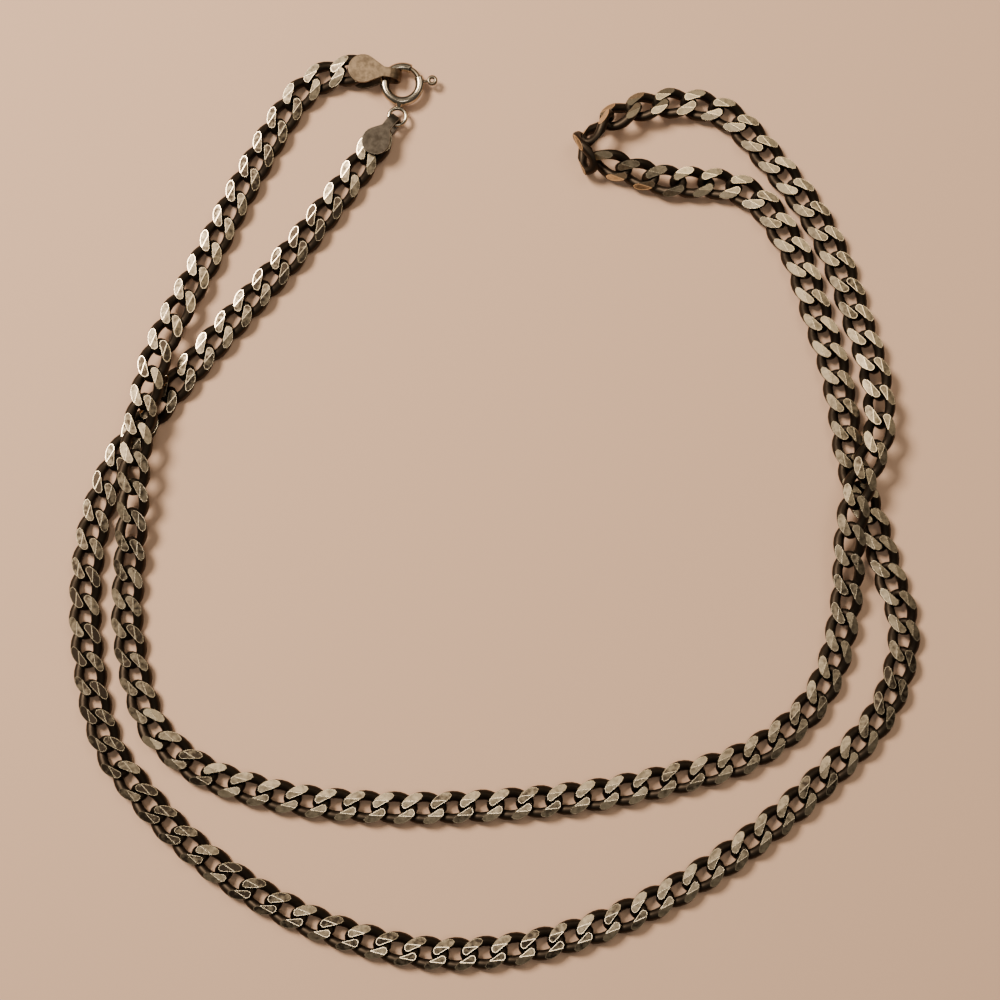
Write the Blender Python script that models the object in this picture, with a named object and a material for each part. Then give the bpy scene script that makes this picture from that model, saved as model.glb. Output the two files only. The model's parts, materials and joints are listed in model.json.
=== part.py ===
"""A curb chain necklace, laid down in a doubled loop, closed with a bolt ring.

Every third interlock along the chain is a joint: three links make one short
length, and its two end links pass through those of the lengths beside it.
The frame: metres, +Z up, the table at Z = 0, the origin under the middle.
"""
import math

import bmesh
import bpy
from mathutils import Matrix, Vector

MM = 0.001

# Chain
PITCH = 3.65 * MM  # from one link's middle to the next
LINK_HOOKING = 1.45 * MM  # how far two links reach into each other, middle to middle of the wire
LINK_LENGTH = PITCH + LINK_HOOKING  # along the middle of the wire
LINK_WIRE = 0.96 * MM  # side of the wire's squared section, halfway along the link
LINK_INSIDE = 2.20 * MM  # across the opening that the next link passes through
LINK_WIDTH = LINK_INSIDE + LINK_WIRE  # across, along the middle of the wire
END_WIRE = 0.45 * MM  # the same, at its two ends
SOLDER_STOP = 0.025 * MM  # from the middle of a link's end wire to the end of its solder bar
SOLDER_WIDTH = 0.42 * MM
FLAT_HEIGHT = 0.90 * MM  # the planed flats, above and below the link's middle
FLAT_FROM_END = 0.55 * MM  # from the end of a planed flat to the end of the link
FLAT_REACH = LINK_LENGTH / 2 - FLAT_FROM_END
TWIST = math.radians(90)  # from one end of a link to the other
LINK_STEPS = 8
SPECK = 0.15 * MM  # anything smaller than this is left by a join and isn't metal
LINKS = 162
LINKS_IN_LENGTH = 3
MIDDLE_LENGTH = 26  # the length in the tight turn, which the others hang from

# Where the chain lies
CROSSING_GAP = 0.45 * MM  # between two lengths, one over the other
STEEPEST_CLIMB = math.tan(math.radians(9))
BEND_LINKS = (78, 79, 80)  # these stand on their edges in the tight turn
EDGE_ROLL = {75: 8, 76: 19, 77: 30, 78: 66, 79: 82, 80: 47, 81: 44, 82: 26, 83: 9}  # degrees

# End tabs, each a strip folded over a ring and closed on the chain's last link
SHEET = 0.30 * MM
TAB_ROOM = 2.10 * MM  # between a tab's two leaves
NECK_WIDTH = 1.30 * MM
NECK_LENGTH = 0.90 * MM
HOOK_TAB_WIDTH = 3.80 * MM
LOOP_TAB_WIDTH = 3.65 * MM
HOOK_TAB_REACH = 1.55 * MM  # from the last link's middle to the tab's round end
LOOP_TAB_REACH = 0.30 * MM
HOOK_FOLD_PAST = 0.50 * MM  # from what the tab holds to the middle of its fold
LOOP_FOLD_PAST = -0.25 * MM

# Bolt ring
RING_DIAMETER = 5.75 * MM
TUBE = 1.15 * MM
TUBE_BORE = 0.90 * MM
BOLT_WIRE = 0.60 * MM
MOUTH = (23, 63)  # degrees round the ring, anticlockwise from +X
BOLT_TIP_IN_TUBE = 8
BOLT_TRAVEL = 40
LEVER_AT = 7
LEVER_WIRE = 0.36 * MM
SLOT_HEIGHT = 0.60 * MM
SLOT_SPARE = 7
EYE_DIAMETER = 1.40 * MM
EYE_WIRE = 0.42 * MM
EYE_STAND_OFF = 0.35 * MM
BOLT_TAIL = 16
SPRING_LENGTH = 66
SPRING_COILS = 10
SPRING_DIAMETER = 0.66 * MM
SPRING_WIRE = 0.13 * MM
LOOP_DIAMETER = 2.75 * MM
LOOP_WIRE = 0.52 * MM
LOOP_AT = -98
LOOP_GAP = 0.16 * MM  # the solder between the tube and the end loop
HOOK_AT = 148.5  # where the hook tab holds the ring

# The chain's route on the table, in millimetres for a pitch of 3.65 mm
ROUTE_PITCH = 3.65 * MM
RING_PLACE = (-12.0, 54.6)
ROUTE = (
    (-18.6, 56.5), (-22.1, 55.7), (-24.9, 53.7), (-27.3, 50.6), (-31.5, 43.1), (-35.3, 35.5),
    (-38.9, 28.0), (-42.4, 20.2), (-44.4, 12.6), (-45.4, 5.9), (-45.7, -0.2), (-46.2, -7.3),
    (-46.5, -14.7), (-45.6, -20.9), (-44.4, -25.3), (-42.3, -29.6), (-38.9, -32.5),
    (-34.7, -35.0), (-24.5, -37.7), (-11.8, -38.7), (0.8, -38.3), (13.3, -37.0), (25.9, -34.3),
    (31.6, -32.4), (36.6, -29.3), (40.5, -25.3), (43.1, -19.9), (44.6, -12.6), (44.9, -5.7),
    (45.7, 0.1), (47.7, 5.2), (48.8, 8.5), (49.0, 13.0), (48.5, 17.3), (47.3, 21.7),
    (46.0, 26.2), (44.5, 30.7), (42.5, 35.3), (39.7, 39.9), (36.5, 43.9), (33.3, 47.9),
    (30.1, 50.7), (26.8, 51.8), (22.9, 52.0), (19.3, 51.4), (16.0, 50.1), (13.4, 48.4),
    (11.9, 46.5), (11.7, 45.1), (12.7, 44.2), (14.7, 43.8), (17.0, 43.1), (20.3, 41.8),
    (24.1, 41.4), (28.0, 41.4), (31.9, 40.6), (35.0, 38.5), (37.6, 34.7), (39.6, 30.8),
    (41.0, 26.2), (42.4, 21.6), (43.8, 16.9), (44.5, 13.0), (45.1, 9.1), (45.6, 5.2),
    (46.7, 1.4), (48.3, -3.0), (50.2, -9.7), (51.4, -13.2), (51.9, -16.7), (51.4, -20.5),
    (50.3, -24.1), (47.9, -28.3), (44.5, -32.1), (36.9, -39.1), (27.6, -46.0), (16.4, -52.0),
    (4.5, -55.7), (-8.0, -56.5), (-20.3, -53.6), (-31.2, -48.3), (-40.2, -41.3),
    (-47.4, -33.0), (-49.7, -27.8), (-50.9, -22.7), (-51.8, -15.2), (-51.6, -7.6),
    (-50.2, -0.2), (-47.2, 6.7), (-41.9, 13.6), (-34.6, 22.2), (-26.6, 31.6), (-19.8, 40.4),
    (-17.6, 43.4), (-15.3, 46.7),
)
ROUTE_STEPS = 24

UP = Vector((0, 0, 1))


def clear_scene():
    for obj in list(bpy.data.objects):
        bpy.data.objects.remove(obj, do_unlink=True)


def make_collection(name, hidden=False):
    collection = bpy.data.collections.new(name)
    collection.hide_render = hidden
    bpy.context.scene.collection.children.link(collection)
    return collection


def material(name, colour, roughness):
    made = bpy.data.materials.new(name)
    made.use_nodes = True
    shader = made.node_tree.nodes["Principled BSDF"]
    shader.inputs["Base Color"].default_value = (*colour, 1)
    shader.inputs["Metallic"].default_value = 1
    shader.inputs["Roughness"].default_value = roughness
    return made


# ---------------------------------------------------------------- the route


def on_spline(before, start, end, after, share):
    """A point between start and end, on the smooth curve through all four."""
    square, cube = share * share, share * share * share
    return 0.5 * (
        2 * start
        + (end - before) * share
        + (2 * before - 5 * start + 4 * end - after) * square
        + (3 * start - before - 3 * end + after) * cube
    )


def smooth_route():
    """The chain's route in plan, as closely spaced points, at the pitch's scale."""
    scale = MM * PITCH / ROUTE_PITCH
    points = [Vector((x, y)) * scale for x, y in ROUTE]
    points = [2 * points[0] - points[1], *points, 2 * points[-1] - points[-2]]
    curve = []
    for four in zip(points, points[1:], points[2:], points[3:]):
        curve += [on_spline(*four, step / ROUTE_STEPS) for step in range(ROUTE_STEPS)]
    run_on = (points[-2] - points[-3]).normalized() * PITCH
    return [*curve, points[-2], points[-2] + run_on]


def link_middles(curve):
    """The links' middles in plan: each one pitch, straight, from the one before."""
    middles = [curve[0]]
    for start, end in zip(curve, curve[1:]):
        if len(middles) < LINKS and (end - middles[-1]).length >= PITCH:
            near, far = (start - middles[-1]).length, (end - middles[-1]).length
            middles.append(start.lerp(end, (PITCH - near) / (far - near)))
    return middles


def rest_height(roll):
    """How high a link's middle stands when it lies on the table, rolled by this angle."""
    half_width = (LINK_WIDTH + LINK_WIRE) / 2
    return FLAT_HEIGHT * abs(math.cos(roll)) + half_width * abs(math.sin(roll))


def heights(middles, rolls):
    """Each link's height: on the table, over the other half of the chain, or in a tab."""
    turn = BEND_LINKS[1]
    width = LINK_WIDTH + LINK_WIRE
    over = 2 * FLAT_HEIGHT + CROSSING_GAP
    wanted = [rest_height(roll) for roll in rolls]
    for i in range(turn - 6):
        gap = min((middles[i] - other).length for other in middles[turn + 6 :])
        if gap < width:
            wanted[i] += over
    for i in (0, LINKS - 1):
        wanted[i] = TAB_ROOM / 2 + SHEET
    fall = STEEPEST_CLIMB * PITCH
    reached = [max(z - fall * abs(i - j) for j, z in enumerate(wanted)) for i in range(LINKS)]
    for i in [*range(1, LINKS - 1)] * 3:
        tilt = abs(reached[i + 1] - reached[i - 1]) / (2 * PITCH)
        reached[i] = max(reached[i], rest_height(rolls[i]) + FLAT_REACH * tilt)
    return reached


def link_frames():
    """Where each link is: its middle, with X along the chain, Z out of its top flats."""
    middles = link_middles(smooth_route())
    rolls = [math.radians(EDGE_ROLL.get(i, 0)) for i in range(LINKS)]
    tops = heights(middles, rolls)
    places = [Vector((*plan, z)) for plan, z in zip(middles, tops)]
    frames = []
    for i, place in enumerate(places):
        before, after = places[max(i - 1, 0)], places[min(i + 1, LINKS - 1)]
        along = (after - before).normalized()
        across = UP.cross(along).normalized()
        top = along.cross(across)
        turned = Matrix((along, across, top)).transposed()
        frames.append(
            Matrix.Translation(place) @ turned.to_4x4() @ Matrix.Rotation(rolls[i], 4, "X")
        )
    return frames


# ---------------------------------------------------------------- shapes


def tube_curve(name, points, thicknesses, closed=False, resolution=1, tilt=0.0):
    """A wire along these points, as a curve object with filled caps."""
    curve = bpy.data.curves.new(name, "CURVE")
    curve.dimensions = "3D"
    curve.twist_mode = "Z_UP"
    curve.bevel_depth = 1.0
    curve.bevel_resolution = resolution
    curve.use_fill_caps = not closed
    spline = curve.splines.new("POLY")
    spline.points.add(len(points) - 1)
    for spot, place, thickness in zip(spline.points, points, thicknesses):
        spot.co = (*place, 1)
        spot.radius = thickness / 2
        spot.tilt = tilt
    spline.use_cyclic_u = closed
    obj = bpy.data.objects.new(name, curve)
    bpy.context.scene.collection.objects.link(obj)
    return obj


def drop(obj):
    """Removes a helper object and its own data."""
    data = obj.data
    bpy.data.objects.remove(obj, do_unlink=True)
    if data.users == 0 and isinstance(data, bpy.types.Curve):
        bpy.data.curves.remove(data)


def as_mesh(obj, name):
    """The object's finished shape as a plain mesh in world space; the object goes."""
    bpy.context.view_layer.update()
    evaluated = obj.evaluated_get(bpy.context.evaluated_depsgraph_get())
    mesh = bpy.data.meshes.new_from_object(evaluated)
    mesh.name = name
    mesh.transform(obj.matrix_world)
    drop(obj)
    shape = bmesh.new()
    shape.from_mesh(mesh)
    bmesh.ops.remove_doubles(shape, verts=shape.verts, dist=0.002 * MM)
    bmesh.ops.recalc_face_normals(shape, faces=shape.faces)
    shape.to_mesh(mesh)
    shape.free()
    return mesh


def placed(mesh, name, collection):
    obj = bpy.data.objects.new(name, mesh)
    collection.objects.link(obj)
    return obj


def without_specks(mesh):
    """The mesh without the specks that a join can leave where two faces graze.

    Anything larger than a speck stays, so a link that is not joined shows up as loose.
    """
    shape = bmesh.new()
    shape.from_mesh(mesh)
    left, pieces = set(shape.faces), []
    while left:
        piece, border = set(), [left.pop()]
        while border:
            face = border.pop()
            piece.add(face)
            near = {other for line in face.edges for other in line.link_faces} & left
            left -= near
            border += near
        pieces.append(piece)
    specks = []
    for piece in pieces:
        spots = [spot.co for face in piece for spot in face.verts]
        sides = [max(s[i] for s in spots) - min(s[i] for s in spots) for i in range(3)]
        if max(sides) < SPECK:
            specks += piece
    bmesh.ops.delete(shape, geom=specks, context="FACES")
    shape.to_mesh(mesh)
    shape.free()
    return mesh


def combined(name, first, others, operation, helpers):
    """The mesh of first, joined with, cut by or kept inside each of the others."""
    body = placed(first, name, helpers)
    tools = [placed(mesh, name + "_tool", helpers) for mesh in others]
    for tool in tools:
        tool.display_type = "WIRE"
        tool.hide_render = True
        cut = body.modifiers.new("with_tool", "BOOLEAN")
        cut.operation = operation
        cut.solver = "EXACT"
        cut.object = tool
    mesh = as_mesh(body, name)
    for tool in tools:
        drop(tool)
    return mesh


def prism(name, outline, low, high, axis="Z"):
    """A flat outline drawn out from low to high, along Z or along Y."""
    shape = bmesh.new()
    if axis == "Z":
        ring = [shape.verts.new((x, y, low)) for x, y in outline]
        reach = Vector((0, 0, high - low))
    else:
        ring = [shape.verts.new((x, low, z)) for x, z in outline]
        reach = Vector((0, high - low, 0))
    face = shape.faces.new(ring)
    drawn = bmesh.ops.extrude_face_region(shape, geom=[face])["geom"]
    bmesh.ops.translate(
        shape, verts=[v for v in drawn if isinstance(v, bmesh.types.BMVert)], vec=reach
    )
    bmesh.ops.recalc_face_normals(shape, faces=shape.faces)
    mesh = bpy.data.meshes.new(name)
    shape.to_mesh(mesh)
    shape.free()
    return mesh


def arc(radius, start, end, steps):
    """Points round the origin, from one angle to another, in degrees."""
    turns = [math.radians(start + (end - start) * i / steps) for i in range(steps + 1)]
    return [(radius * math.cos(a), radius * math.sin(a)) for a in turns]


# ---------------------------------------------------------------- the chain


def link_mesh(name):
    """One curb link: an oval of wire, twisted a quarter turn, planed flat on both sides."""
    points, wires = [], []
    for step in range(LINK_STEPS):
        turn = 2 * math.pi * step / LINK_STEPS
        share = math.copysign(abs(math.cos(turn)) ** 0.87, math.cos(turn))
        y = LINK_WIDTH / 2 * math.sin(turn)
        lean = -TWIST / 2 * share
        points.append((share * LINK_LENGTH / 2, y * math.cos(lean), y * math.sin(lean)))
        wires.append(LINK_WIRE + (END_WIRE - LINK_WIRE) * share * share)
    corner_to_corner = [wire * math.sqrt(2) for wire in wires]
    wire = tube_curve(name, points, corner_to_corner, True, 0, math.pi / 4)
    mesh = as_mesh(wire, name)
    for spot in mesh.vertices:
        spot.co.z = min(max(spot.co.z, -FLAT_HEIGHT), FLAT_HEIGHT)
    return mesh


def solder_mesh(name, before, after):
    """The bar that holds two links together, from inside one's end wire to the other's."""
    start = after @ Vector((-LINK_LENGTH / 2, 0, 0))
    end = before @ Vector((LINK_LENGTH / 2, 0, 0))
    stop = (end - start).normalized() * SOLDER_STOP
    line = [start + stop, end - stop]
    return as_mesh(tube_curve(name, line, [SOLDER_WIDTH] * 2, False, 0, 0.15), name)


def chain_lengths(frames, parts, helpers, silver):
    """The chain, three links to a length, each length set on its joint."""
    for number, first in enumerate(range(0, LINKS, LINKS_IN_LENGTH)):
        members = range(first, min(first + LINKS_IN_LENGTH, LINKS))
        meshes = []
        for i in members:
            mesh = link_mesh(f"link_{i:03d}")
            mesh.transform(frames[i])
            meshes.append(mesh)
            if i != members[0]:
                meshes.append(solder_mesh(f"solder_{i:03d}", frames[i - 1], frames[i]))
        name = f"chain_length_{number + 1:02d}"
        mesh = without_specks(combined(name, meshes[0], meshes[1:], "UNION", helpers))
        pivot = hinge_frame(frames, number)
        mesh.transform(pivot.inverted())
        mesh.materials.clear()
        mesh.materials.append(silver)
        obj = placed(mesh, name, parts)
        obj.matrix_world = pivot


def hinge_frame(frames, number):
    """The joint that a length turns on: halfway to the link it hangs from, Y across."""
    first = number * LINKS_IN_LENGTH
    last = min(first + LINKS_IN_LENGTH, LINKS) - 1
    if number == MIDDLE_LENGTH:
        return frames[BEND_LINKS[1]].copy()
    back = (first - 1) if number > MIDDLE_LENGTH else last
    start, end = frames[back], frames[back + 1]
    along = (end.translation - start.translation).normalized()
    across = start.col[1].xyz + end.col[1].xyz
    across = (across - along * across.dot(along)).normalized()
    turned = Matrix((along, across, along.cross(across))).transposed()
    return Matrix.Translation((start.translation + end.translation) / 2) @ turned.to_4x4()


# ---------------------------------------------------------------- the end tabs


def tab_outline(width, length):
    """A narrow neck at the fold, widening along straight sides to a round end."""
    radius, half_neck = width / 2, NECK_WIDTH / 2
    fold = -(TAB_ROOM / 2 + SHEET) * 1.1
    reach = math.hypot(length - NECK_LENGTH, half_neck)
    to_neck = math.atan2(half_neck, NECK_LENGTH - length)
    touch = math.degrees(to_neck - math.acos(radius / reach))
    end = [(length + x, y) for x, y in arc(radius, -touch, touch, 16)]
    neck = [(NECK_LENGTH, half_neck), (fold, half_neck)]
    return [(x, -y) for x, y in reversed(neck)] + end + neck


def tab_mesh(name, width, length, helpers):
    """A strip folded back on itself round the ring, then cut to the tab's outline."""
    inner, outer = TAB_ROOM / 2, TAB_ROOM / 2 + SHEET
    end = length + width
    outside = [(end, outer), *[(x, z) for x, z in arc(outer, 90, 270, 10)], (end, -outer)]
    inside = [(end, -inner), *[(x, z) for x, z in arc(inner, 270, 90, 10)], (end, inner)]
    strip = prism(name, outside + inside, -width, width, "Y")
    cutter = prism(name, tab_outline(width, length), -2 * outer, 2 * outer)
    return combined(name, strip, [cutter], "INTERSECT", helpers)


def tab(name, last_link, hold, fold_past, reach, width, parts, helpers, silver):
    """A tab, from round what it holds in its fold to over the chain's last link."""
    away = last_link - hold
    away.z = 0
    along = away.normalized()
    fold = hold - along * fold_past
    length = away.length + fold_past - reach
    mesh = tab_mesh(name, width, length, helpers)
    mesh.materials.clear()
    mesh.materials.append(silver)
    obj = placed(mesh, name, parts)
    turned = Matrix((along, UP.cross(along), UP)).transposed()
    obj.matrix_world = Matrix.Translation(fold) @ turned.to_4x4()


# ---------------------------------------------------------------- the bolt ring


def ring_radius():
    return (RING_DIAMETER - TUBE) / 2


def ring_middle():
    scale = MM * PITCH / ROUTE_PITCH
    height = TAB_ROOM / 2 + SHEET
    return Vector((RING_PLACE[0] * scale, RING_PLACE[1] * scale, height))


def at_angle(middle, radius, degrees):
    turn = math.radians(degrees)
    return middle + Vector((math.cos(turn), math.sin(turn), 0)) * radius


def loop_middle():
    apart = (RING_DIAMETER + LOOP_DIAMETER) / 2 + LOOP_GAP
    return at_angle(ring_middle(), apart, LOOP_AT)


def ring_hold():
    """The place on the ring's tube that the hook tab goes round."""
    return at_angle(ring_middle(), ring_radius(), HOOK_AT)


def loop_hold(last_link):
    """The place on the end loop nearest to the chain's last link."""
    pull = last_link - loop_middle()
    pull.z = 0
    return loop_middle() + pull.normalized() * (LOOP_DIAMETER - LOOP_WIRE) / 2


def arc_wire(name, radius, start, end, steps, thickness, resolution=2):
    points = [(x, y, 0) for x, y in arc(radius, start, end, steps)]
    return as_mesh(tube_curve(name, points, [thickness] * len(points), False, resolution), name)


def round_ring(name, outside, wire, steps, middle=(0, 0, 0), resolution=1):
    radius = (outside - wire) / 2
    points = [
        (middle[0] + x, middle[1] + y, middle[2]) for x, y in arc(radius, 0, 360, steps)[:-1]
    ]
    return as_mesh(tube_curve(name, points, [wire] * steps, True, resolution), name)


def ring_tube(helpers):
    """The bolt ring's body: a bent tube, open at its mouth, slotted for the lever."""
    start, end = MOUTH[1], MOUTH[0] + 360
    outer = arc_wire("tube", ring_radius(), start, end, 20, TUBE, 2)
    bore = arc_wire("bore", ring_radius(), start - 4, end + 4, 20, TUBE_BORE, 2)
    low, high = LEVER_AT - BOLT_TRAVEL - SLOT_SPARE, LEVER_AT + SLOT_SPARE
    inside, outside = ring_radius() + TUBE_BORE / 4, ring_radius() + TUBE
    outline = arc(inside, low, high, 8) + arc(outside, high, low, 8)
    slot = prism("slot", outline, -SLOT_HEIGHT / 2, SLOT_HEIGHT / 2)
    return combined("tube", outer, [bore, slot], "DIFFERENCE", helpers)


def bolt(helpers):
    """The sliding bolt: a bent wire with the thumb lever and its small eye."""
    start, end = LEVER_AT - BOLT_TAIL, MOUTH[1] + BOLT_TIP_IN_TUBE
    wire = arc_wire("bolt", ring_radius(), start, end, 14, BOLT_WIRE)
    lean = Matrix.Rotation(math.radians(LEVER_AT), 4, "Z")
    foot, top = ring_radius(), RING_DIAMETER / 2 + EYE_STAND_OFF + EYE_WIRE / 2
    stem_line = [(foot, 0, 0), (top, 0, 0)]
    stem = as_mesh(tube_curve("stem", stem_line, [LEVER_WIRE] * 2, False, 2), "stem")
    stem.transform(lean)
    eye_at = RING_DIAMETER / 2 + EYE_STAND_OFF + EYE_DIAMETER / 2
    eye = round_ring("eye", EYE_DIAMETER, EYE_WIRE, 12, (eye_at, 0, 0))
    eye.transform(lean)
    return combined("bolt", wire, [stem, eye], "UNION", helpers)


def spring():
    """The coil spring behind the bolt, bent round inside the tube."""
    start = LEVER_AT - BOLT_TAIL - 3
    steps = SPRING_COILS * 6
    coil = (SPRING_DIAMETER - SPRING_WIRE) / 2
    points = []
    for step in range(steps + 1):
        share = step / steps
        round_ring_turn = math.radians(start - SPRING_LENGTH * share)
        turn = 2 * math.pi * SPRING_COILS * share
        radius = ring_radius() + coil * math.cos(turn)
        points.append((
            radius * math.cos(round_ring_turn),
            radius * math.sin(round_ring_turn),
            coil * math.sin(turn),
        ))
    wire = tube_curve("spring", points, [SPRING_WIRE] * len(points), False, 0)
    wire.data.twist_mode = "MINIMUM"
    return as_mesh(wire, "spring")


def bolt_ring(parts, helpers, silver, steel):
    pieces = (
        ("bolt_ring_tube", ring_tube(helpers), ring_middle(), silver),
        ("bolt_with_thumb_eye", bolt(helpers), ring_middle(), silver),
        ("bolt_spring", spring(), ring_middle(), steel),
        ("end_loop", round_ring("loop", LOOP_DIAMETER, LOOP_WIRE, 20, resolution=2),
         loop_middle(), silver),
    )
    for name, mesh, place, finish in pieces:
        mesh.materials.clear()
        mesh.materials.append(finish)
        obj = placed(mesh, name, parts)
        obj.location = place


def centre_on_origin(parts):
    """Moves the whole necklace so that the origin is under the middle of its box."""
    bpy.context.view_layer.update()
    spots = [obj.matrix_world @ spot.co for obj in parts.objects for spot in obj.data.vertices]
    low = Vector([min(spot[i] for spot in spots) for i in range(3)])
    high = Vector([max(spot[i] for spot in spots) for i in range(3)])
    middle = (low + high) / 2
    for obj in parts.objects:
        obj.location -= Vector((middle.x, middle.y, low.z))


def main():
    clear_scene()
    parts = make_collection("curb_chain_necklace")
    helpers = make_collection("cutters", hidden=True)
    chain_silver = material("tarnished_silver", (0.36, 0.31, 0.25), 0.32)
    tab_silver = material("tab_silver", (0.42, 0.37, 0.30), 0.38)
    ring_silver = material("bright_silver", (0.55, 0.50, 0.42), 0.22)
    spring_steel = material("spring_steel", (0.40, 0.40, 0.41), 0.35)

    frames = link_frames()
    chain_lengths(frames, parts, helpers, chain_silver)
    first, last = frames[0].translation, frames[-1].translation
    tab("end_tab_on_ring", first, ring_hold(), HOOK_FOLD_PAST, HOOK_TAB_REACH,
        HOOK_TAB_WIDTH, parts, helpers, tab_silver)
    tab("end_tab_on_loop", last, loop_hold(last), LOOP_FOLD_PAST, LOOP_TAB_REACH,
        LOOP_TAB_WIDTH, parts, helpers, tab_silver)
    bolt_ring(parts, helpers, ring_silver, spring_steel)
    centre_on_origin(parts)


main()
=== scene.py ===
import json
import math

import bmesh
import bpy
from mathutils import Matrix, Vector


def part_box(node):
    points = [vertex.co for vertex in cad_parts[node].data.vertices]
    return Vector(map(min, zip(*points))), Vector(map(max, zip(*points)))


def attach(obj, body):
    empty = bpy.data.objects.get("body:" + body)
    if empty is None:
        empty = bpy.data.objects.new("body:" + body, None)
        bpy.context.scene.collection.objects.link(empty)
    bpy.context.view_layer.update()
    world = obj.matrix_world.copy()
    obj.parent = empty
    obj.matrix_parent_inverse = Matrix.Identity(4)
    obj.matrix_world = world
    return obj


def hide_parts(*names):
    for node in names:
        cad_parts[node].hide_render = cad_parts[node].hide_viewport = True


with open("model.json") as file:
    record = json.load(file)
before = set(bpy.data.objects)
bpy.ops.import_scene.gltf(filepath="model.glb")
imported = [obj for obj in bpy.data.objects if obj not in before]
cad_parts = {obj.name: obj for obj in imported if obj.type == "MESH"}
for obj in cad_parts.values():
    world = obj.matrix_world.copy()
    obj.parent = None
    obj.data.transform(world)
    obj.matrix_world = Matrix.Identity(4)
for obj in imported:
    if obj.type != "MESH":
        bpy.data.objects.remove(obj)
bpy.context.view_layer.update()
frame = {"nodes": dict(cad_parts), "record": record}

MM = 0.001

# ------------------------------------------------------------------ camera
# A copy stand: the camera looks almost straight down at the laid-out chain,
# standing a little to the front of it.

LOOKS_AT = Vector((0.74, 0.18, 0.91)) * MM
CAMERA_AWAY = 220 * MM
CAMERA_LEAN = math.radians(5.7)

camera_data = bpy.data.cameras.new("camera")
camera_data.lens = 62.07
camera_data.sensor_width = 36
camera_data.clip_start = 0.01
camera_data.clip_end = 10
camera = bpy.data.objects.new("camera", camera_data)
bpy.context.scene.collection.objects.link(camera)
camera.location = LOOKS_AT + Vector((0, -math.sin(CAMERA_LEAN), math.cos(CAMERA_LEAN))) * CAMERA_AWAY
camera.rotation_euler = (CAMERA_LEAN, 0, 0)
bpy.context.scene.camera = camera

# ------------------------------------------------------------------ tarnish
# Silver that has been worn a long time: thin brown sulphide stays where nothing
# rubs, in patches, and the rubbed faces stay bright with a fine grain of scratches.


STAIN_SCALE, STAIN_DETAIL = 1700, 6  # patches well under a millimetre across
STAIN_FROM, STAIN_TO = 0.35, 0.68  # of the stain noise, from clean to fully stained
HAZE_SCALE, HAZE_DETAIL = 4200, 2
GRAIN_SCALE, GRAIN_DETAIL = 5200, 3
GRAIN_DEPTH = 0.02 * MM
TARNISH_ROUGHNESS = 0.22  # how much rougher fully tarnished metal is than rubbed metal
HAZE_ROUGHNESS = 0.08


def group_socket(group, name, kind, way, value=None):
    socket = group.interface.new_socket(name=name, in_out=way, socket_type=kind)
    if value is not None:
        socket.default_value = value


def make_tarnish_group():
    """Colour, roughness and normal of worn silver, from how much a spot is rubbed, with a painted
    highlight wherever the rim input is set.
    """
    group = bpy.data.node_groups.new("tarnish", "ShaderNodeTree")
    group_socket(group, "Rubbed", "NodeSocketFloat", "INPUT", 1.0)
    group_socket(group, "Tone", "NodeSocketFloat", "INPUT", 0.5)
    group_socket(group, "Rim highlight", "NodeSocketFloat", "INPUT", 0.0)
    group_socket(group, "Bright", "NodeSocketColor", "INPUT", (0.7, 0.62, 0.5, 1))
    group_socket(group, "Dark", "NodeSocketColor", "INPUT", (0.05, 0.035, 0.025, 1))
    group_socket(group, "Patches", "NodeSocketFloat", "INPUT", 0.3)
    group_socket(group, "Smoothness", "NodeSocketFloat", "INPUT", 0.25)
    group_socket(group, "Grain", "NodeSocketFloat", "INPUT", 0.2)
    group_socket(group, "Colour", "NodeSocketColor", "OUTPUT")
    group_socket(group, "Roughness", "NodeSocketFloat", "OUTPUT")
    group_socket(group, "Normal", "NodeSocketVector", "OUTPUT")
    nodes, link = group.nodes, group.links.new
    given, made = nodes.new("NodeGroupInput"), nodes.new("NodeGroupOutput")
    place = nodes.new("ShaderNodeTexCoord")

    def noise(scale, detail):
        texture = nodes.new("ShaderNodeTexNoise")
        texture.inputs["Scale"].default_value = scale
        texture.inputs["Detail"].default_value = detail
        link(place.outputs["Object"], texture.inputs["Vector"])
        return texture.outputs["Fac"]

    def maths(operation, first, second):
        node = nodes.new("ShaderNodeMath")
        node.operation = operation
        for socket, value in zip(node.inputs, (first, second)):
            if isinstance(value, (int, float)):
                socket.default_value = value
            else:
                link(value, socket)
        return node.outputs[0]

    spread = nodes.new("ShaderNodeMapRange")
    spread.inputs["From Min"].default_value = STAIN_FROM
    spread.inputs["From Max"].default_value = STAIN_TO
    link(noise(STAIN_SCALE, STAIN_DETAIL), spread.inputs["Value"])
    stain = maths("MULTIPLY", spread.outputs["Result"], given.outputs["Patches"])
    toned = maths("MULTIPLY", given.outputs["Rubbed"], given.outputs["Tone"])
    # The rim input lifts the colour to Bright: a painted highlight along edges.
    share = maths("MAXIMUM", maths("SUBTRACT", toned, stain), given.outputs["Rim highlight"])
    colour = nodes.new("ShaderNodeMix")
    colour.data_type = "RGBA"
    link(share, colour.inputs["Factor"])
    link(given.outputs["Dark"], colour.inputs["A"])
    link(given.outputs["Bright"], colour.inputs["B"])
    link(colour.outputs["Result"], made.inputs["Colour"])
    unrubbed = maths("SUBTRACT", 1.0, share)
    tarnished = maths("MULTIPLY", unrubbed, TARNISH_ROUGHNESS)
    rough = maths("ADD", given.outputs["Smoothness"], tarnished)
    haze = maths("MULTIPLY", noise(HAZE_SCALE, HAZE_DETAIL), HAZE_ROUGHNESS)
    link(maths("ADD", rough, haze), made.inputs["Roughness"])
    bump = nodes.new("ShaderNodeBump")
    bump.inputs["Distance"].default_value = GRAIN_DEPTH
    link(given.outputs["Grain"], bump.inputs["Strength"])
    link(noise(GRAIN_SCALE, GRAIN_DETAIL), bump.inputs["Height"])
    link(bump.outputs["Normal"], made.inputs["Normal"])
    return group


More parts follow.
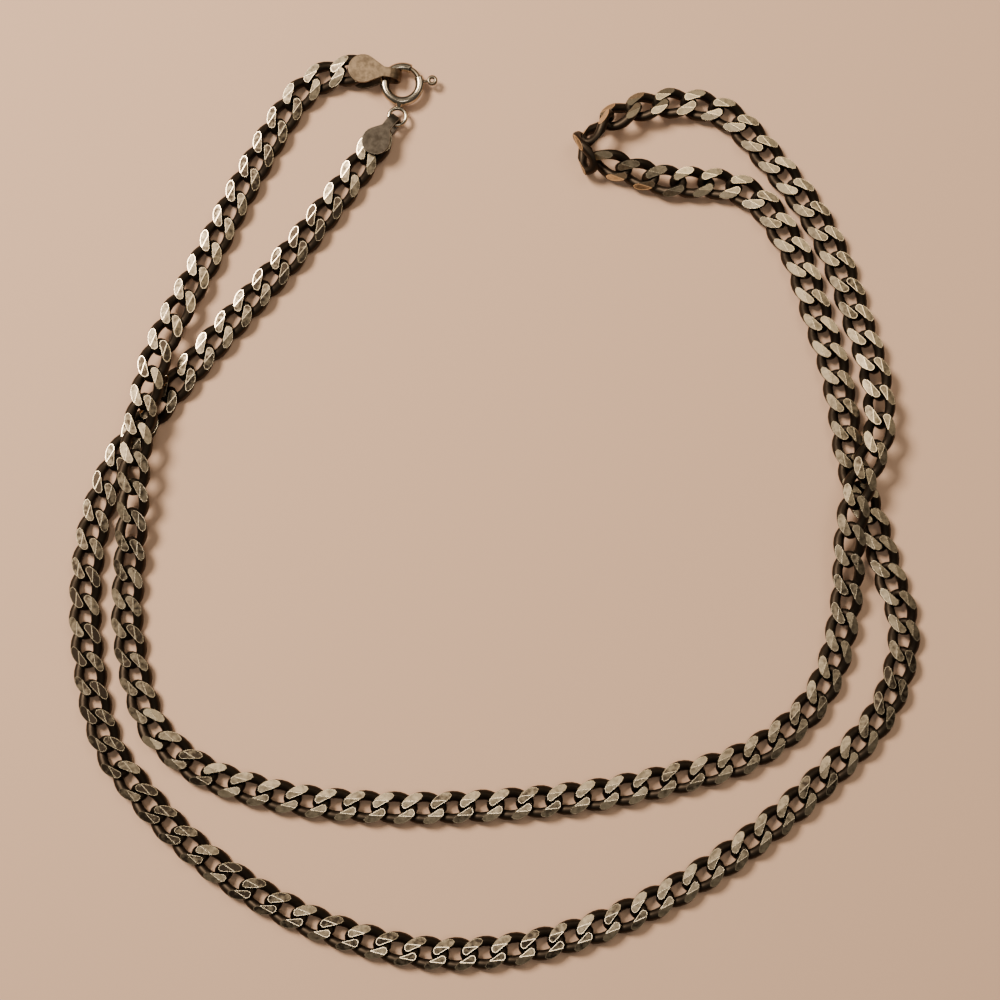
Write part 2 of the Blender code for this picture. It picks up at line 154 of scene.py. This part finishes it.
tarnish = make_tarnish_group()


def worn_silver(name, values, rubbed=None, tone_and_reflection=None, rim_highlight=None):
    """Metal with the tarnish group; rubbed, tone and rim name the attributes they come from."""
    made = bpy.data.materials.new(name)
    made.use_nodes = True
    nodes, link = made.node_tree.nodes, made.node_tree.links.new
    shader = nodes["Principled BSDF"]
    shader.inputs["Metallic"].default_value = 1.0
    effect = nodes.new("ShaderNodeGroup")
    effect.node_tree = tarnish
    for key, value in values.items():
        effect.inputs[key].default_value = value
    for key, attribute in (("Rubbed", rubbed), ("Tone", tone_and_reflection), ("Rim highlight", rim_highlight)):
        if attribute:
            reader = nodes.new("ShaderNodeAttribute")
            reader.attribute_name = attribute
            link(reader.outputs["Fac"], effect.inputs[key])
    link(effect.outputs["Colour"], shader.inputs["Base Color"])
    link(effect.outputs["Roughness"], shader.inputs["Roughness"])
    link(effect.outputs["Normal"], shader.inputs["Normal"])
    return made


# ------------------------------------------------------------------ the chain
# Curb links of round wire, twisted a quarter turn so they lie flat, then planed on
# both sides. The planed faces are bright and the wire between them stays dark.

PITCH = 3.65 * MM
LINKS = 162
LINKS_IN_LENGTH = 3
LINK_WIDTH = 3.16 * MM
LINK_WIRE = 0.96 * MM
FLAT_HEIGHT = 0.90 * MM
FLAT_REACH = 2.00 * MM
TWIST = math.radians(90)
CROSSING_GAP = 0.45 * MM
STEEPEST_CLIMB = math.tan(math.radians(9))
TURN_LINK = 79
TURN_REACH = 6  # links either side of the tight turn that never lie over one another
EDGE_ROLL = {75: 8, 76: 19, 77: 30, 78: 66, 79: 82, 80: 47, 81: 44, 82: 26, 83: 9}
TAB_MIDDLE_HEIGHT = 1.35 * MM
RING_PLACE = Vector((-12.0, 54.6)) * MM
# The chain's route on the table in millimetres, the same as in the part's source
ROUTE = (
    (-18.6, 56.5), (-22.1, 55.7), (-24.9, 53.7), (-27.3, 50.6), (-31.5, 43.1), (-35.3, 35.5),
    (-38.9, 28.0), (-42.4, 20.2), (-44.4, 12.6), (-45.4, 5.9), (-45.7, -0.2), (-46.2, -7.3),
    (-46.5, -14.7), (-45.6, -20.9), (-44.4, -25.3), (-42.3, -29.6), (-38.9, -32.5),
    (-34.7, -35.0), (-24.5, -37.7), (-11.8, -38.7), (0.8, -38.3), (13.3, -37.0), (25.9, -34.3),
    (31.6, -32.4), (36.6, -29.3), (40.5, -25.3), (43.1, -19.9), (44.6, -12.6), (44.9, -5.7),
    (45.7, 0.1), (47.7, 5.2), (48.8, 8.5), (49.0, 13.0), (48.5, 17.3), (47.3, 21.7),
    (46.0, 26.2), (44.5, 30.7), (42.5, 35.3), (39.7, 39.9), (36.5, 43.9), (33.3, 47.9),
    (30.1, 50.7), (26.8, 51.8), (22.9, 52.0), (19.3, 51.4), (16.0, 50.1), (13.4, 48.4),
    (11.9, 46.5), (11.7, 45.1), (12.7, 44.2), (14.7, 43.8), (17.0, 43.1), (20.3, 41.8),
    (24.1, 41.4), (28.0, 41.4), (31.9, 40.6), (35.0, 38.5), (37.6, 34.7), (39.6, 30.8),
    (41.0, 26.2), (42.4, 21.6), (43.8, 16.9), (44.5, 13.0), (45.1, 9.1), (45.6, 5.2),
    (46.7, 1.4), (48.3, -3.0), (50.2, -9.7), (51.4, -13.2), (51.9, -16.7), (51.4, -20.5),
    (50.3, -24.1), (47.9, -28.3), (44.5, -32.1), (36.9, -39.1), (27.6, -46.0), (16.4, -52.0),
    (4.5, -55.7), (-8.0, -56.5), (-20.3, -53.6), (-31.2, -48.3), (-40.2, -41.3),
    (-47.4, -33.0), (-49.7, -27.8), (-50.9, -22.7), (-51.8, -15.2), (-51.6, -7.6),
    (-50.2, -0.2), (-47.2, 6.7), (-41.9, 13.6), (-34.6, 22.2), (-26.6, 31.6), (-19.8, 40.4),
    (-17.6, 43.4), (-15.3, 46.7),
)
ROUTE_STEPS = 24
UP = Vector((0, 0, 1))

joints = {joint["name"]: joint for joint in frame["record"]["behaviour"]["joints"]}
ring_middle = Vector(joints["bolt_slide"]["pos_m"])
shift = ring_middle - Vector((*RING_PLACE, TAB_MIDDLE_HEIGHT))


def on_spline(before, start, end, after, share):
    """A point between start and end, on the smooth curve through all four."""
    square, cube = share * share, share * share * share
    return 0.5 * (
        2 * start
        + (end - before) * share
        + (2 * before - 5 * start + 4 * end - after) * square
        + (3 * start - before - 3 * end + after) * cube
    )


def link_middles():
    """The links' middles in plan: each one pitch, straight, from the one before."""
    points = [Vector(place) * MM for place in ROUTE]
    points = [2 * points[0] - points[1], *points, 2 * points[-1] - points[-2]]
    curve = []
    for four in zip(points, points[1:], points[2:], points[3:]):
        curve += [on_spline(*four, step / ROUTE_STEPS) for step in range(ROUTE_STEPS)]
    run_on = (points[-2] - points[-3]).normalized() * PITCH
    curve += [points[-2], points[-2] + run_on]
    middles = [curve[0]]
    for start, end in zip(curve, curve[1:]):
        if len(middles) < LINKS and (end - middles[-1]).length >= PITCH:
            near, far = (start - middles[-1]).length, (end - middles[-1]).length
            middles.append(start.lerp(end, (PITCH - near) / (far - near)))
    return middles


def rest_height(roll):
    half_width = (LINK_WIDTH + LINK_WIRE) / 2
    return FLAT_HEIGHT * abs(math.cos(roll)) + half_width * abs(math.sin(roll))


def heights(middles, rolls):
    """Each link's height: on the table, over the other half of the chain, or in a tab."""
    wanted = [rest_height(roll) for roll in rolls]
    for i in range(TURN_LINK - TURN_REACH):
        gap = min((middles[i] - other).length for other in middles[TURN_LINK + TURN_REACH :])
        if gap < LINK_WIDTH + LINK_WIRE:
            wanted[i] += 2 * FLAT_HEIGHT + CROSSING_GAP
    for i in (0, LINKS - 1):
        wanted[i] = TAB_MIDDLE_HEIGHT
    fall = STEEPEST_CLIMB * PITCH
    reached = [max(z - fall * abs(i - j) for j, z in enumerate(wanted)) for i in range(LINKS)]
    for i in [*range(1, LINKS - 1)] * 3:
        tilt = abs(reached[i + 1] - reached[i - 1]) / (2 * PITCH)
        reached[i] = max(reached[i], rest_height(rolls[i]) + FLAT_REACH * tilt)
    return reached


def link_frames():
    """Where each link is: its middle, with X along the chain, Z out of its top flats."""
    middles = link_middles()
    rolls = [math.radians(EDGE_ROLL.get(i, 0)) for i in range(LINKS)]
    places = [Vector((*plan, z)) for plan, z in zip(middles, heights(middles, rolls))]
    frames = []
    for i, place in enumerate(places):
        along = (places[min(i + 1, LINKS - 1)] - places[max(i - 1, 0)]).normalized()
        across = UP.cross(along).normalized()
        turned = Matrix((along, across, along.cross(across))).transposed()
        roll = Matrix.Rotation(rolls[i], 4, "X")
        frames.append(Matrix.Translation(place + shift) @ turned.to_4x4() @ roll)
    return frames


AROUND_LINK = 28
AROUND_WIRE = 12
FULL_LENGTH = 4.86 * MM  # the real wire, touching its neighbours, along its middle
FULL_WIDTH = 2.82 * MM
FULL_WIRE = 1.32 * MM
FULL_END = 1.12 * MM
SQUARENESS = 2.2  # of the wire's section, 2 being round
END_BLUNTNESS = 0.87  # of the link's outline, 1 being an ellipse and less being blunter
CROWN_FLAT = 0.80 * MM  # the inner planed face, from the link's middle
BEVEL_LEAN = math.radians(14)  # the outer planed face, from the inner one
BEVEL_AWAY = 1.01 * MM
RIM_HIGHLIGHT_WIDTH = 0.06 * MM  # the bright line round each planed face: a painted highlight, flat with the face and brighter only in colour
LEAST_RIMMED = 9 * RIM_HIGHLIGHT_WIDTH * RIM_HIGHLIGHT_WIDTH  # a smaller planed face gets no painted highlight


def one_link():
    """A link lying along X: swept wire, planed by three planes on each side."""
    shape = bmesh.new()
    rings = []
    for step in range(AROUND_LINK):
        turn = 2 * math.pi * step / AROUND_LINK
        share = math.copysign(abs(math.cos(turn)) ** END_BLUNTNESS, math.cos(turn))
        lean = -TWIST / 2 * share
        wire = FULL_WIRE + (FULL_END - FULL_WIRE) * share * share
        middle = Vector((
            share * FULL_LENGTH / 2,
            FULL_WIDTH / 2 * math.sin(turn) * math.cos(lean),
            FULL_WIDTH / 2 * math.sin(turn) * math.sin(lean),
        ))
        way = Vector((-math.sin(turn) * FULL_LENGTH, math.cos(turn) * FULL_WIDTH * math.cos(lean),
                      math.cos(turn) * FULL_WIDTH * math.sin(lean))).normalized()
        side = way.cross(UP).normalized()
        top = side.cross(way)
        ring = []
        for spot in range(AROUND_WIRE):
            angle = 2 * math.pi * (spot + 0.5) / AROUND_WIRE
            c, s = math.cos(angle), math.sin(angle)
            size = (abs(c) ** SQUARENESS + abs(s) ** SQUARENESS) ** (-1 / SQUARENESS)
            ring.append(shape.verts.new(middle + (side * c + top * s) * size * wire / 2))
        rings.append(ring)
    for near, far in zip(rings, rings[1:] + rings[:1]):
        for i in range(AROUND_WIRE):
            j = (i + 1) % AROUND_WIRE
            shape.faces.new((near[i], near[j], far[j], far[i]))
    rubbed = shape.faces.layers.float.new("rubbed")
    for up in (1, -1):
        planes = [((0, 0, up * CROWN_FLAT), (0, 0, up))]
        for side in (1, -1):
            normal = Vector((0, side * math.sin(BEVEL_LEAN), up * math.cos(BEVEL_LEAN)))
            planes.append((normal * BEVEL_AWAY, normal))
        for point, normal in planes:
            everything = shape.verts[:] + shape.edges[:] + shape.faces[:]
            bmesh.ops.bisect_plane(shape, geom=everything, plane_co=point, plane_no=normal,
                                   clear_outer=True, dist=1e-8)
            border = [edge for edge in shape.edges if edge.is_boundary]
            for face in bmesh.ops.holes_fill(shape, edges=border, sides=0)["faces"]:
                face[rubbed] = 1.0
    bmesh.ops.recalc_face_normals(shape, faces=shape.faces)
    rim_highlight = shape.faces.layers.float.new("rim_highlight")
    rubbed = shape.faces.layers.float["rubbed"]
    planed = [face for face in shape.faces
              if face[rubbed] > 0.5 and face.calc_area() > LEAST_RIMMED]
    # The inset band lies flat in the face; only its colour makes it the painted highlight round the
    # face.
    border = bmesh.ops.inset_individual(shape, faces=planed, thickness=RIM_HIGHLIGHT_WIDTH, use_even_offset=True)
    for face in border["faces"]:
        face[rubbed] = 1.0
        face[rim_highlight] = 1.0
    for face in shape.faces:
        face.smooth = face[rubbed] < 0.5
    for edge in shape.edges:
        edge.smooth = all(face[rubbed] < 0.5 for face in edge.link_faces)
    mesh = bpy.data.meshes.new("one_link")
    shape.to_mesh(mesh)
    shape.free()
    return bpy.data.objects.new("one_link", mesh)


def make_length_tree():
    """Sets one link on every point, turned as the point says."""
    tree = bpy.data.node_groups.new("links_in_a_length", "GeometryNodeTree")
    group_socket(tree, "Geometry", "NodeSocketGeometry", "INPUT")
    group_socket(tree, "Link", "NodeSocketObject", "INPUT")
    group_socket(tree, "Silver", "NodeSocketMaterial", "INPUT")
    group_socket(tree, "Darkest tone", "NodeSocketFloat", "INPUT", 0.10)
    group_socket(tree, "Lightest tone", "NodeSocketFloat", "INPUT", 0.46)
    group_socket(tree, "Seed", "NodeSocketInt", "INPUT", 1)
    group_socket(tree, "Geometry", "NodeSocketGeometry", "OUTPUT")
    nodes, link = tree.nodes, tree.links.new
    given, made = nodes.new("NodeGroupInput"), nodes.new("NodeGroupOutput")
    # Each link's tone is random between the darkest and lightest given; the ranges set per length
    # carry painted reflection.
    tone_and_reflection = nodes.new("FunctionNodeRandomValue")
    link(given.outputs["Darkest tone"], tone_and_reflection.inputs[2])
    link(given.outputs["Lightest tone"], tone_and_reflection.inputs[3])
    link(given.outputs["Seed"], tone_and_reflection.inputs["Seed"])
    toned = nodes.new("GeometryNodeStoreNamedAttribute")
    toned.domain = "POINT"
    toned.inputs["Name"].default_value = "tone_and_reflection"
    link(given.outputs["Geometry"], toned.inputs["Geometry"])
    link(tone_and_reflection.outputs[1], toned.inputs["Value"])
    turned = nodes.new("GeometryNodeInputNamedAttribute")
    turned.data_type = "QUATERNION"
    turned.inputs["Name"].default_value = "turned"
    link_shape = nodes.new("GeometryNodeObjectInfo")
    link(given.outputs["Link"], link_shape.inputs["Object"])
    instance = nodes.new("GeometryNodeInstanceOnPoints")
    link(toned.outputs["Geometry"], instance.inputs["Points"])
    link(link_shape.outputs["Geometry"], instance.inputs["Instance"])
    link(turned.outputs["Attribute"], instance.inputs["Rotation"])
    real = nodes.new("GeometryNodeRealizeInstances")
    link(instance.outputs["Instances"], real.inputs["Geometry"])
    finish = nodes.new("GeometryNodeSetMaterial")
    link(real.outputs["Geometry"], finish.inputs["Geometry"])
    link(given.outputs["Silver"], finish.inputs["Material"])
    link(finish.outputs["Geometry"], made.inputs["Geometry"])
    return tree


def set_input(modifier, name, value):
    for item in modifier.node_group.interface.items_tree:
        if item.item_type == "SOCKET" and item.in_out == "INPUT" and item.name == name:
            modifier[item.identifier] = value


chain_silver = worn_silver(
    "chain_silver",
    {"Bright": (0.86, 0.68, 0.44, 1), "Dark": (0.036, 0.026, 0.018, 1),
     "Patches": 0.26, "Smoothness": 0.22, "Grain": 0.4},
    rubbed="rubbed", tone_and_reflection="tone_and_reflection", rim_highlight="rim_highlight",
)
TONE_AND_REFLECTION_BY_LENGTH = (  # up to this length, the darkest and lightest tone of its links; the ranges, lighter in some lengths and darker in others, are painted reflection
    (4, 0.10, 0.34), (8, 0.08, 0.36), (11, 0.14, 0.50), (18, 0.20, 0.50), (23, 0.20, 0.56),
    (31, 0.36, 0.78), (34, 0.24, 0.62), (40, 0.12, 0.48), (44, 0.08, 0.40), (50, 0.02, 0.26),
    (54, 0.06, 0.32),
)
link_shape = one_link()
length_tree = make_length_tree()
all_frames = link_frames()

for number in range(LINKS // LINKS_IN_LENGTH):
    members = all_frames[number * LINKS_IN_LENGTH : (number + 1) * LINKS_IN_LENGTH]
    points = bpy.data.meshes.new("link_places")
    points.from_pydata([place.translation for place in members], [], [])
    turned = points.attributes.new("turned", "QUATERNION", "POINT")
    for spot, place in zip(turned.data, members):
        spot.value = place.to_quaternion()
    holder = bpy.data.objects.new("link_places", points)
    bpy.context.scene.collection.objects.link(holder)
    modifier = holder.modifiers.new("links", "NODES")
    modifier.node_group = length_tree
    set_input(modifier, "Link", link_shape)
    set_input(modifier, "Silver", chain_silver)
    set_input(modifier, "Seed", number)
    darkest, lightest = next(tones[1:] for tones in TONE_AND_REFLECTION_BY_LENGTH if number < tones[0])
    set_input(modifier, "Darkest tone", darkest)
    set_input(modifier, "Lightest tone", lightest)
    bpy.context.view_layer.update()
    evaluated = holder.evaluated_get(bpy.context.evaluated_depsgraph_get())
    mesh = bpy.data.meshes.new_from_object(evaluated)
    bpy.data.objects.remove(holder, do_unlink=True)
    piece = bpy.data.objects.new(f"links_{number + 1:02d}", mesh)
    bpy.context.scene.collection.objects.link(piece)
    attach(piece, f"length_{number + 1:02d}")
    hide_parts(f"chain_length_{number + 1:02d}")

# ------------------------------------------------------------------ end tabs
# Strips of silver sheet folded over what they hold and closed on the chain's last
# link. Handling has rubbed them dull, with fine scratches; their softened edges are brighter, a
# painted highlight.

hook_silver = worn_silver(
    "hook_tab_silver",
    {"Bright": (0.20, 0.14, 0.085, 1), "Dark": (0.035, 0.024, 0.016, 1),
     "Patches": 0.62, "Smoothness": 0.34, "Grain": 0.5, "Tone": 0.95},
    rim_highlight="rim_highlight",
)
loop_silver = worn_silver(
    "loop_tab_silver",
    {"Bright": (0.30, 0.25, 0.19, 1), "Dark": (0.028, 0.021, 0.015, 1),
     "Patches": 0.12, "Smoothness": 0.32, "Grain": 0.5, "Tone": 0.16},
    rim_highlight="rim_highlight",
)
TAB_EDGE = 0.06 * MM
TAB_EDGE_HIGHLIGHT = 0.7  # how bright the painted highlight on the softened edges is
TAB_LEAF = 2.0 * MM * MM  # a face larger than this is a flat leaf
CUT_EDGE = math.radians(40)  # a sharper edge of the tab is a cut one, and is softened
TAB_CREASE = math.radians(25)


def tab_sheet(name, node, body, silver):
    """The tab's sheet with its cut edges softened and given a painted highlight."""
    shape = bmesh.new()
    shape.from_mesh(node.data)
    shape.transform(node.matrix_world)
    bmesh.ops.remove_doubles(shape, verts=shape.verts, dist=1e-7)
    bmesh.ops.dissolve_limit(shape, angle_limit=math.radians(1), verts=shape.verts,
                             edges=shape.edges)
    bmesh.ops.recalc_face_normals(shape, faces=shape.faces)
    rim_highlight = shape.faces.layers.float.new("rim_highlight")
    sharp = [edge for edge in shape.edges
             if len(edge.link_faces) == 2 and edge.calc_face_angle() > CUT_EDGE]
    soft = bmesh.ops.bevel(shape, geom=sharp, offset=TAB_EDGE, segments=2, profile=0.5,
                           affect="EDGES", clamp_overlap=True)
    # The bevel's faces are coloured brighter: a painted highlight on the edges.
    for face in soft["faces"]:
        face[rim_highlight] = TAB_EDGE_HIGHLIGHT
    for face in shape.faces:
        face.smooth = face.calc_area() < TAB_LEAF
    for edge in shape.edges:
        edge.smooth = len(edge.link_faces) != 2 or edge.calc_face_angle() < TAB_CREASE
    mesh = bpy.data.meshes.new(name)
    shape.to_mesh(mesh)
    shape.free()
    mesh.materials.append(silver)
    piece = bpy.data.objects.new(name, mesh)
    bpy.context.scene.collection.objects.link(piece)
    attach(piece, body)
    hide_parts(node.name)


tab_sheet("tab_sheet_on_ring", frame["nodes"]["end_tab_on_ring"], "length_01", hook_silver)
tab_sheet("tab_sheet_on_loop", frame["nodes"]["end_tab_on_loop"], "length_54", loop_silver)

# ------------------------------------------------------------------ bolt ring
# A polished tube bent round, with a sliding bolt in it on a coil spring, and a
# plain ring of wire soldered on for the chain.

ring_silver = worn_silver(
    "ring_silver",
    {"Bright": (0.50, 0.42, 0.31, 1), "Dark": (0.07, 0.05, 0.034, 1),
     "Patches": 0.30, "Smoothness": 0.14, "Grain": 0.12, "Tone": 0.95},
)
lever_silver = worn_silver(
    "lever_silver",
    {"Bright": (0.24, 0.19, 0.13, 1), "Dark": (0.05, 0.036, 0.025, 1),
     "Patches": 0.3, "Smoothness": 0.24, "Grain": 0.2, "Tone": 0.85},
)
spring_steel = worn_silver(
    "spring_steel",
    {"Bright": (0.55, 0.55, 0.56, 1), "Dark": (0.12, 0.12, 0.12, 1),
     "Patches": 0.1, "Smoothness": 0.3, "Grain": 0.1, "Tone": 0.9},
)
RING_DIAMETER = 5.75 * MM
TUBE = 1.15 * MM
TUBE_WALL = 0.125 * MM
MOUTH = (23, 63)  # degrees round the ring, anticlockwise from +X
SLOT = (-40, 14)  # where the lever slides
SLOT_HEIGHT = 0.60 * MM
BOLT_WIRE = 0.60 * MM
BOLT_ENDS = (-9, 71)
LEVER_AT = 7
LEVER_WIRE = 0.36 * MM
EYE_DIAMETER = 1.40 * MM
EYE_WIRE = 0.48 * MM
EYE_STAND_OFF = 0.35 * MM
LOOP_DIAMETER = 2.75 * MM
LOOP_WIRE = 0.52 * MM
NECK_AT_RING = 0.95 * MM  # the solder between the ring and the end loop, wide at the ring
NECK_AT_LOOP = 0.50 * MM
NECK_SINK = 0.12 * MM
WIRE_CREASE = math.radians(50)
ring_radius = (RING_DIAMETER - TUBE) / 2
loop_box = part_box("end_loop")
loop_middle = (Vector(loop_box[0]) + Vector(loop_box[1])) / 2


def bent_wire(points, thickness, closed=False, sides=16, caps=True):
    """A round wire along these points, as a bmesh."""
    curve = bpy.data.curves.new("wire", "CURVE")
    curve.dimensions = "3D"
    curve.twist_mode = "Z_UP"
    curve.bevel_depth = thickness / 2
    curve.bevel_resolution = (sides - 4) // 2
    curve.use_fill_caps = caps and not closed
    spline = curve.splines.new("POLY")
    spline.points.add(len(points) - 1)
    for spot, place in zip(spline.points, points):
        spot.co = (*place, 1)
    spline.use_cyclic_u = closed
    holder = bpy.data.objects.new("wire", curve)
    bpy.context.scene.collection.objects.link(holder)
    bpy.context.view_layer.update()
    mesh = bpy.data.meshes.new_from_object(
        holder.evaluated_get(bpy.context.evaluated_depsgraph_get()))
    bpy.data.objects.remove(holder, do_unlink=True)
    shape = bmesh.new()
    shape.from_mesh(mesh)
    bmesh.ops.remove_doubles(shape, verts=shape.verts, dist=1e-7)
    bmesh.ops.recalc_face_normals(shape, faces=shape.faces)
    return shape


def cone(start, end, first, last):
    """A short tapered plug of solder from start to end, as a bmesh."""
    shape = bmesh.new()
    turned = (end - start).to_track_quat("Z", "Y").to_matrix().to_4x4()
    bmesh.ops.create_cone(shape, cap_ends=True, segments=20, radius1=first / 2, radius2=last / 2,
                          depth=(end - start).length,
                          matrix=Matrix.Translation((start + end) / 2) @ turned)
    return shape


def round_points(middle, radius, start, end, steps):
    turns = [math.radians(start + (end - start) * i / steps) for i in range(steps + 1)]
    return [middle + Vector((math.cos(a), math.sin(a), 0)) * radius for a in turns]


def finished(name, shapes, body, replaced, silver):
    """The shapes as one smooth piece that rides on body."""
    whole = bmesh.new()
    for shape in shapes:
        part = bpy.data.meshes.new("part")
        shape.to_mesh(part)
        whole.from_mesh(part)
        shape.free()
    for face in whole.faces:
        face.smooth = True
    for edge in whole.edges:
        if len(edge.link_faces) == 2 and edge.calc_face_angle() > WIRE_CREASE:
            edge.smooth = False
    mesh = bpy.data.meshes.new(name)
    whole.to_mesh(mesh)
    whole.free()
    mesh.materials.append(silver)
    piece = bpy.data.objects.new(name, mesh)
    bpy.context.scene.collection.objects.link(piece)
    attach(piece, body)
    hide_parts(replaced)
    return piece


tube = bent_wire(round_points(ring_middle, ring_radius, MOUTH[1], MOUTH[0] + 360, 96),
                 TUBE, sides=24, caps=False)
slot_faces = []
for face in tube.faces:
    away = face.calc_center_median() - ring_middle
    turn = math.degrees(math.atan2(away.y, away.x))
    outside = away.to_2d().length > ring_radius
    if SLOT[0] < turn < SLOT[1] and outside and abs(away.z) < SLOT_HEIGHT / 2:
        slot_faces.append(face)
bmesh.ops.delete(tube, geom=slot_faces, context="FACES")
tube_piece = finished("ring_tube", [tube], "bolt_ring", "bolt_ring_tube", ring_silver)
wall = tube_piece.modifiers.new("wall", "SOLIDIFY")
wall.thickness = TUBE_WALL
wall.offset = -1

lever_way = Vector((math.cos(math.radians(LEVER_AT)), math.sin(math.radians(LEVER_AT)), 0))
lever_end = RING_DIAMETER / 2 + EYE_STAND_OFF + EYE_WIRE / 2
eye_middle = ring_middle + lever_way * (RING_DIAMETER / 2 + EYE_STAND_OFF + EYE_DIAMETER / 2)
finished("bolt_wire", [
    bent_wire(round_points(ring_middle, ring_radius, *BOLT_ENDS, 32), BOLT_WIRE),
    bent_wire([ring_middle + lever_way * ring_radius, ring_middle + lever_way * lever_end],
              LEVER_WIRE),
    bent_wire(round_points(eye_middle, (EYE_DIAMETER - EYE_WIRE) / 2, 0, 360, 32)[:-1],
              EYE_WIRE, closed=True),
], "bolt", "bolt_with_thumb_eye", lever_silver)
neck_way = (loop_middle - ring_middle).normalized()
neck_start = ring_middle + neck_way * (RING_DIAMETER / 2 - NECK_SINK)
neck_end = loop_middle - neck_way * (LOOP_DIAMETER / 2 - NECK_SINK)
finished("end_loop_wire", [
    cone(neck_start, neck_end, NECK_AT_RING, NECK_AT_LOOP),
    bent_wire(round_points(loop_middle, (LOOP_DIAMETER - LOOP_WIRE) / 2, 0, 360, 48)[:-1],
              LOOP_WIRE, closed=True),
], "bolt_ring", "end_loop", ring_silver)
hidden_spring = frame["nodes"]["bolt_spring"]
hidden_spring.data.materials.clear()
hidden_spring.data.materials.append(spring_steel)

# ------------------------------------------------------------------ floor and light
# A pale cloth-coloured floor under a large warm soft light from the upper left.

floor_mesh = bpy.data.meshes.new("floor")
FLOOR_HALF = 1.5
FLOOR_COLOUR = (0.60, 0.385, 0.255, 1)
FLOOR_ROUGHNESS = 0.9
ROOM_COLOUR = (0.95, 0.90, 0.84, 1)
ROOM_STRENGTH = 0.12
floor_mesh.from_pydata(
    [(-FLOOR_HALF, -FLOOR_HALF, 0), (FLOOR_HALF, -FLOOR_HALF, 0),
     (FLOOR_HALF, FLOOR_HALF, 0), (-FLOOR_HALF, FLOOR_HALF, 0)],
    [], [(0, 1, 2, 3)],
)
floor = bpy.data.objects.new("floor", floor_mesh)
bpy.context.scene.collection.objects.link(floor)
floor_paint = bpy.data.materials.new("floor_paint")
floor_paint.use_nodes = True
floor_shader = floor_paint.node_tree.nodes["Principled BSDF"]
floor_shader.inputs["Base Color"].default_value = FLOOR_COLOUR
floor_shader.inputs["Roughness"].default_value = FLOOR_ROUGHNESS
floor_mesh.materials.append(floor_paint)


def soft_light(name, place, size, power, colour):
    data = bpy.data.lights.new(name, "AREA")
    data.size = size
    data.energy = power
    data.color = colour
    light = bpy.data.objects.new(name, data)
    bpy.context.scene.collection.objects.link(light)
    light.location = place
    light.rotation_euler = (-Vector(place)).to_track_quat("-Z", "Y").to_euler()


soft_light("key", (-0.24, 0.20, 0.36), 0.15, 4.2, (1.0, 0.90, 0.78))
soft_light("far_panel", (0.20, 0.24, 0.46), 0.26, 0.75, (1.0, 0.88, 0.70))
soft_light("near_panel", (-0.02, -0.16, 0.60), 0.14, 0.5, (1.0, 0.95, 0.88))

world = bpy.data.worlds.new("room")
world.use_nodes = True
room = world.node_tree.nodes["Background"]
room.inputs["Color"].default_value = ROOM_COLOUR
room.inputs["Strength"].default_value = ROOM_STRENGTH
bpy.context.scene.world = world
